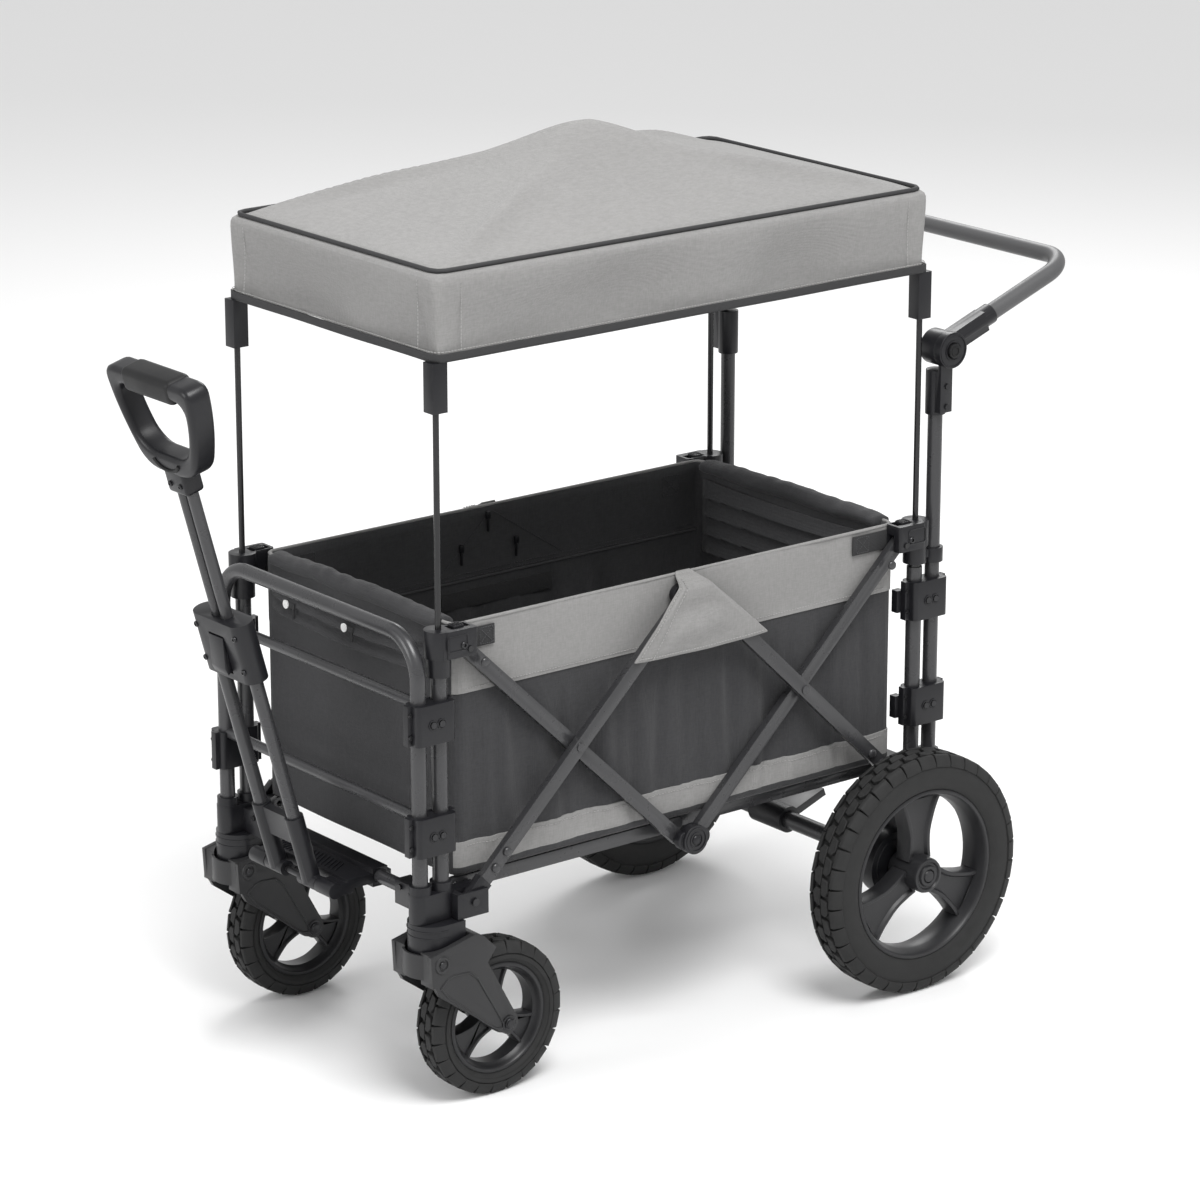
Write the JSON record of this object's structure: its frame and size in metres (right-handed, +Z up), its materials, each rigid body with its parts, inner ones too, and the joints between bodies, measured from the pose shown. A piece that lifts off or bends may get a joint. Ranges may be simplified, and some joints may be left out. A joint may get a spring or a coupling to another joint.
{
  "type": "folding pull wagon",
  "caption": "Folding child wagon with a fabric basket, scissor sides, a canopy on corner rods, a telescopic draw handle, a tilting push bar, swivel casters and large rear wheels.",
  "frame": {"origin": "on the ground under the middle of the wagon: the bottom centre of its box", "axes": "+Z up, +X from the draw handle to the push bar, so -X is forward, and -Y is the wagon's left side"},
  "size_m": [1.2282, 0.58, 1.07],
  "materials": {
    "gunmetal_steel": "satin powder coat",
    "black_nylon": "fine moulded grain",
    "grey_nylon": "moulded, satin",
    "tyre_rubber": "matt rubber",
    "rim_plastic": "moulded, satin",
    "black_rod": "gloss black",
    "screw_steel": "black zinc",
    "light_canvas": "melange polyester canvas",
    "dark_canvas": "dark polyester canvas",
    "push_bar_coat": "matt coat",
    "soft_pad": "soft-touch"
  },
  "bodies": {
    "front_end": {"front_posts": "gunmetal_steel", "front_frame": "gunmetal_steel", "front_clamps": "black_nylon", "front_bottom_brackets": "black_nylon", "footplate": "black_nylon", "front_fasteners": "screw_steel"},
    "left_caster_head": {"left_caster_head": "grey_nylon"},
    "right_caster_head": {"right_caster_head": "grey_nylon"},
    "left_fork": {"left_fork": "grey_nylon", "left_caster_bolts": "screw_steel"},
    "right_fork": {"right_fork": "grey_nylon", "right_caster_bolts": "screw_steel"},
    "left_caster_wheel": {"left_caster_tyre": "tyre_rubber", "left_caster_rim": "rim_plastic"},
    "right_caster_wheel": {"right_caster_tyre": "tyre_rubber", "right_caster_rim": "rim_plastic"},
    "front_lower_braces": {"front_lower_braces": "gunmetal_steel", "front_brace_feet": "black_nylon"},
    "front_upper_braces": {"front_upper_braces": "gunmetal_steel"},
    "front_top_corners": {"front_top_brackets": "black_nylon", "front_rods": "black_rod", "basket_shell": "light_canvas", "front_panel": "dark_canvas"},
    "upper_hubs": {"upper_hubs": "black_nylon", "canopy_cover": "light_canvas", "canopy_ribs": "black_rod"},
    "lower_hubs": {"lower_hubs": "black_nylon"},
    "rear_lower_braces": {"rear_lower_braces": "gunmetal_steel", "rear_brace_feet": "black_nylon"},
    "rear_upper_braces": {"rear_upper_braces": "gunmetal_steel"},
    "rear_top_corners": {"rear_top_brackets": "black_nylon", "rear_rods": "black_rod", "rear_panel": "dark_canvas"},
    "rear_end": {"rear_posts": "gunmetal_steel", "push_posts": "gunmetal_steel", "rear_clamps": "black_nylon", "rear_bottom_brackets": "black_nylon", "rear_cross_tubes": "gunmetal_steel", "brake_drums": "black_nylon", "rear_fasteners": "screw_steel", "push_hinge_bases": "black_nylon"},
    "front_floor_rails": {"front_floor_rails": "gunmetal_steel"},
    "rear_floor_rails": {"rear_floor_rails": "gunmetal_steel"},
    "left_rear_wheel": {"left_rear_tyre": "tyre_rubber", "left_rear_rim": "rim_plastic"},
    "right_rear_wheel": {"right_rear_tyre": "tyre_rubber", "right_rear_rim": "rim_plastic"},
    "brake_pedal": {"brake_pedal": "black_nylon"},
    "front_latches": {"front_latches": "black_nylon"},
    "rear_latches": {"rear_latches": "black_nylon"},
    "push_handle": {"push_bar": "push_bar_coat", "push_hinge_arms": "black_nylon"},
    "left_release_button": {"left_release_button": "black_nylon"},
    "right_release_button": {"right_release_button": "black_nylon"},
    "draw_handle": {"draw_tubes": "gunmetal_steel", "draw_fittings": "black_nylon"},
    "release_lever": {"release_lever": "black_nylon"},
    "draw_grip": {"inner_draw_tubes": "gunmetal_steel", "grip_frame": "black_nylon", "grip_pad": "soft_pad"}
  },
  "joints": [
    {"name": "fold", "type": "hinge", "parent": "front_end", "child": "front_lower_braces", "pos_m": [-0.327, 0, 0.245], "axis": [0, -1, 0], "range_deg": [0, 35], "deforming": ["basket_shell", "canopy_cover", "canopy_ribs"]},
    {"name": "front_cross_turn", "type": "hinge", "parent": "front_lower_braces", "child": "front_upper_braces", "pos_m": [-0.17, 0, 0.395], "axis": [0, 1, 0], "range_deg": [0, 70]},
    {"name": "front_corner_turn", "type": "hinge", "parent": "front_upper_braces", "child": "front_top_corners", "pos_m": [-0.327, 0, 0.545], "axis": [0, -1, 0], "range_deg": [0, 35]},
    {"name": "upper_hub_turn", "type": "hinge", "parent": "front_lower_braces", "child": "upper_hubs", "pos_m": [-0.013, 0, 0.545], "axis": [0, 1, 0], "range_deg": [0, 35]},
    {"name": "rear_brace_turn", "type": "hinge", "parent": "upper_hubs", "child": "rear_lower_braces", "pos_m": [0.013, 0, 0.545], "axis": [0, 1, 0], "range_deg": [0, 35]},
    {"name": "rear_end_turn", "type": "hinge", "parent": "rear_lower_braces", "child": "rear_end", "pos_m": [0.327, 0, 0.245], "axis": [0, -1, 0], "range_deg": [0, 35]},
    {"name": "rear_cross_turn", "type": "hinge", "parent": "rear_lower_braces", "child": "rear_upper_braces", "pos_m": [0.17, 0, 0.395], "axis": [0, -1, 0], "range_deg": [0, 70]},
    {"name": "rear_corner_turn", "type": "hinge", "parent": "rear_upper_braces", "child": "rear_top_corners", "pos_m": [0.327, 0, 0.545], "axis": [0, 1, 0], "range_deg": [0, 35]},
    {"name": "lower_hub_turn", "type": "hinge", "parent": "front_upper_braces", "child": "lower_hubs", "pos_m": [-0.013, 0, 0.245], "axis": [0, -1, 0], "range_deg": [0, 35]},
    {"name": "front_rail_turn", "type": "hinge", "parent": "front_end", "child": "front_floor_rails", "pos_m": [-0.327, 0, 0.255], "axis": [0, -1, 0], "range_deg": [0, 72.55]},
    {"name": "rear_rail_turn", "type": "hinge", "parent": "rear_end", "child": "rear_floor_rails", "pos_m": [0.327, 0, 0.255], "axis": [0, 1, 0], "range_deg": [0, 72.55]},
    {"name": "left_caster_swivel", "type": "hinge", "parent": "front_end", "child": "left_caster_head", "pos_m": [-0.372, -0.1935, 0.2], "axis": [0, 0, 1], "continuous": true},
    {"name": "left_caster_spring", "type": "hinge", "parent": "left_caster_head", "child": "left_fork", "pos_m": [-0.384, -0.1935, 0.186], "axis": [0, -1, 0], "range_deg": [0, 5], "stiffness_Nm_per_rad": 60, "springref_deg": -11.46},
    {"name": "left_caster_spin", "type": "hinge", "parent": "left_fork", "child": "left_caster_wheel", "pos_m": [-0.2906, -0.1935, 0.0924], "axis": [0, 1, 0], "continuous": true},
    {"name": "right_caster_swivel", "type": "hinge", "parent": "front_end", "child": "right_caster_head", "pos_m": [-0.372, 0.1935, 0.2], "axis": [0, 0, 1], "continuous": true},
    {"name": "right_caster_spring", "type": "hinge", "parent": "right_caster_head", "child": "right_fork", "pos_m": [-0.384, 0.1935, 0.186], "axis": [0, -1, 0], "range_deg": [0, 5], "stiffness_Nm_per_rad": 60, "springref_deg": -11.46},
    {"name": "right_caster_spin", "type": "hinge", "parent": "right_fork", "child": "right_caster_wheel", "pos_m": [-0.2906, 0.1935, 0.0924], "axis": [0, 1, 0], "continuous": true},
    {"name": "left_rear_spin", "type": "hinge", "parent": "rear_end", "child": "left_rear_wheel", "pos_m": [0.3048, -0.26, 0.15], "axis": [0, 1, 0], "continuous": true},
    {"name": "right_rear_spin", "type": "hinge", "parent": "rear_end", "child": "right_rear_wheel", "pos_m": [0.3048, 0.26, 0.15], "axis": [0, 1, 0], "continuous": true},
    {"name": "brake_pedal_press", "type": "hinge", "parent": "rear_end", "child": "brake_pedal", "pos_m": [0.3048, 0, 0.15], "axis": [0, 1, 0], "range_deg": [0, 18]},
    {"name": "front_latch_slide", "type": "slide", "parent": "front_top_corners", "child": "front_latches", "axis": [1, 0, 0], "range_m": [0, 0.006], "stiffness_N_per_m": 200, "springref_m": -0.002},
    {"name": "rear_latch_slide", "type": "slide", "parent": "rear_top_corners", "child": "rear_latches", "axis": [-1, 0, 0], "range_m": [0, 0.006], "stiffness_N_per_m": 200, "springref_m": -0.002},
    {"name": "push_handle_tilt", "type": "hinge", "parent": "rear_end", "child": "push_handle", "pos_m": [0.391, 0, 0.777], "axis": [0, -1, 0], "range_deg": [-60, 35]},
    {"name": "left_button_press", "type": "slide", "parent": "rear_end", "child": "left_release_button", "axis": [0, 1, 0], "range_m": [0, 0.003], "stiffness_N_per_m": 400, "springref_m": -0.002},
    {"name": "right_button_press", "type": "slide", "parent": "rear_end", "child": "right_release_button", "axis": [0, -1, 0], "range_m": [0, 0.003], "stiffness_N_per_m": 400, "springref_m": -0.002},
    {"name": "draw_handle_tilt", "type": "hinge", "parent": "front_end", "child": "draw_handle", "pos_m": [-0.424, 0, 0.24], "axis": [0, -1, 0], "range_deg": [-14, 75]},
    {"name": "draw_handle_extend", "type": "slide", "parent": "draw_handle", "child": "draw_grip", "axis": [-0.2672, 0, 0.9636], "range_m": [-0.12, 0]},
    {"name": "release_lever_squeeze", "type": "hinge", "parent": "draw_handle", "child": "release_lever", "pos_m": [-0.52153, 0, 0.54399], "axis": [0, -1, 0], "range_deg": [0, 8], "stiffness_Nm_per_rad": 0.6, "springref_deg": -5.73}
  ],
  "couplings": [
    {"joint": "front_cross_turn", "follows": "fold", "ratio": 2},
    {"joint": "front_corner_turn", "follows": "fold", "ratio": 1},
    {"joint": "upper_hub_turn", "follows": "fold", "ratio": 1},
    {"joint": "rear_brace_turn", "follows": "fold", "ratio": 1},
    {"joint": "rear_end_turn", "follows": "fold", "ratio": 1},
    {"joint": "rear_cross_turn", "follows": "fold", "ratio": 2},
    {"joint": "rear_corner_turn", "follows": "fold", "ratio": 1},
    {"joint": "lower_hub_turn", "follows": "fold", "ratio": 1},
    {"joint": "front_rail_turn", "follows": "fold", "ratio": 2.0724},
    {"joint": "rear_rail_turn", "follows": "fold", "ratio": 2.0724}
  ]
}
